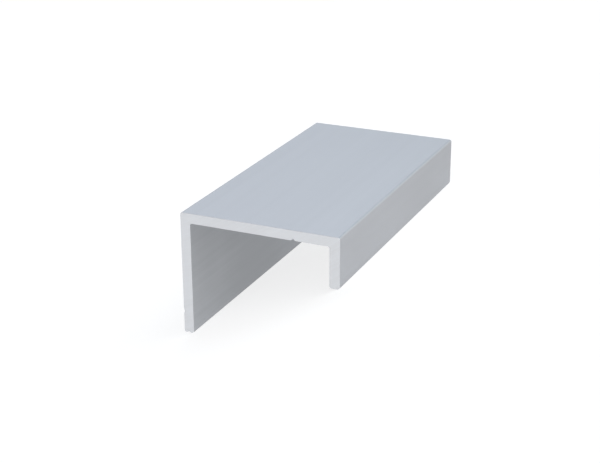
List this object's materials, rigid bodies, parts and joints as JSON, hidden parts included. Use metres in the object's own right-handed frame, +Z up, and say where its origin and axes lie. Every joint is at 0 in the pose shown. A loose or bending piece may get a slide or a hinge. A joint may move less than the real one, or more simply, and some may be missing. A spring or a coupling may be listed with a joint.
{
  "type": "aluminium handle profile",
  "caption": "Short cut length of unequal-leg aluminium channel: a flat web with a long leg that fixes behind a door or drawer front and a short lip to pull by.",
  "frame": {"origin": "middle of the footprint, on the floor the piece rests on", "axes": "+Z up from the floor, +Y along the extrusion away from the end that shows in the picture, +X across the section from the long leg to the lip; the web slopes 25.80 degrees down towards +X because the piece rests on the feet of its two unequal legs"},
  "size_m": [0.0392, 0.062, 0.0226],
  "materials": {
    "anodised_aluminium": "satin natural anodised, with bare saw-cut ends"
  },
  "bodies": {
    "root": {"handle_profile": "anodised_aluminium"}
  },
  "joints": []
}
